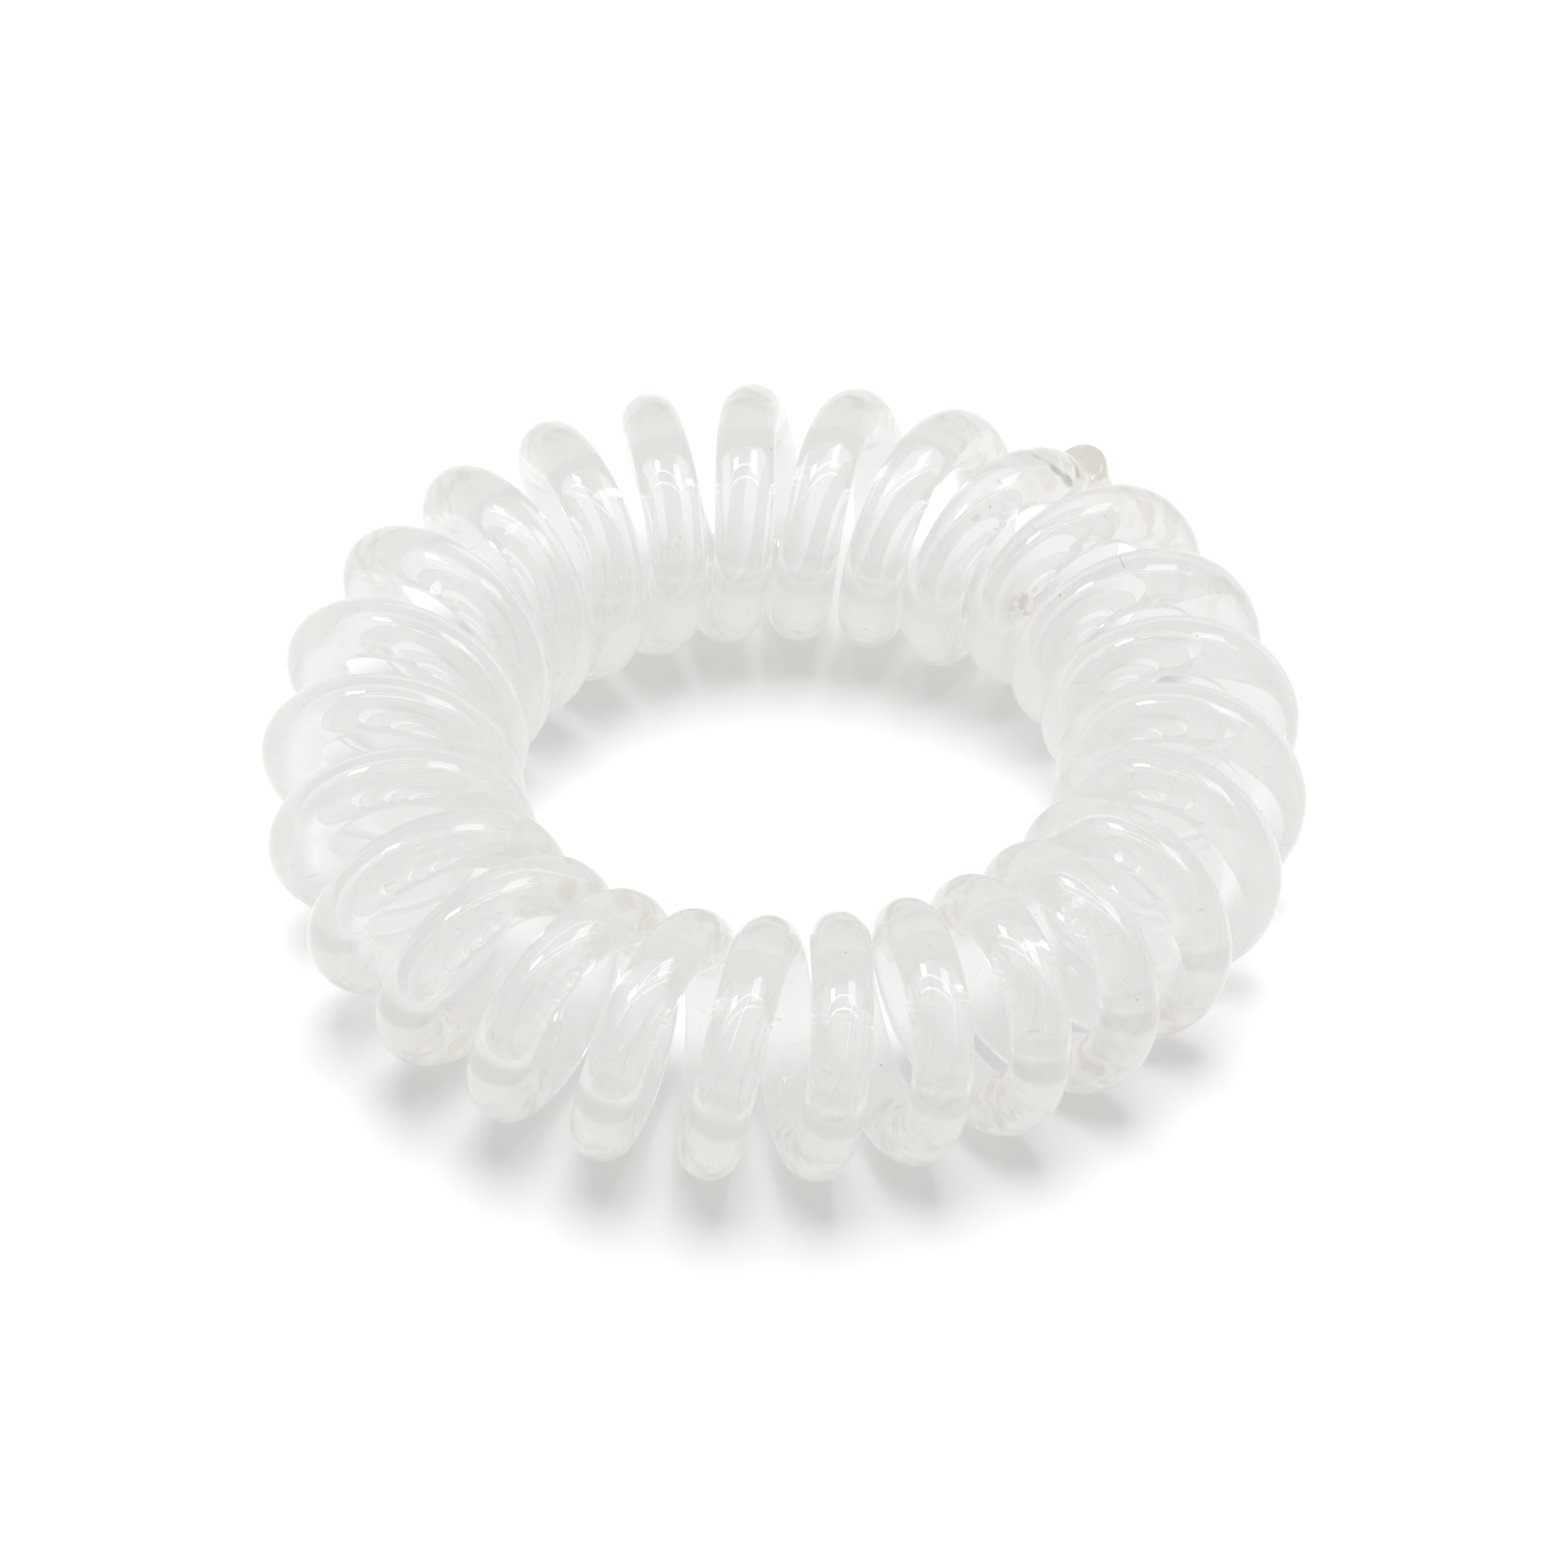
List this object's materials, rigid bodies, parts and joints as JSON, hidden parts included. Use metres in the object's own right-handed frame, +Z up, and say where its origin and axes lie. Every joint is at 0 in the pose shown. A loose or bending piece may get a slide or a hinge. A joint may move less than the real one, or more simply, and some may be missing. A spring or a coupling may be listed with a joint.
{
  "type": "spiral hair tie",
  "caption": "Clear plastic hair tie: one round strand wound into a springy coil that closes into a ring, lying flat.",
  "frame": {"origin": "middle of the ring, at the surface that it lies on", "axes": "+Z up along the ring's axis; -Y is the front of the ring, as the picture shows it"},
  "size_m": [0.0404, 0.0392, 0.0103],
  "materials": {
    "strand": "clear, glossy, faintly milky soft plastic"
  },
  "bodies": {
    "root": {"coil": "strand"}
  },
  "joints": []
}
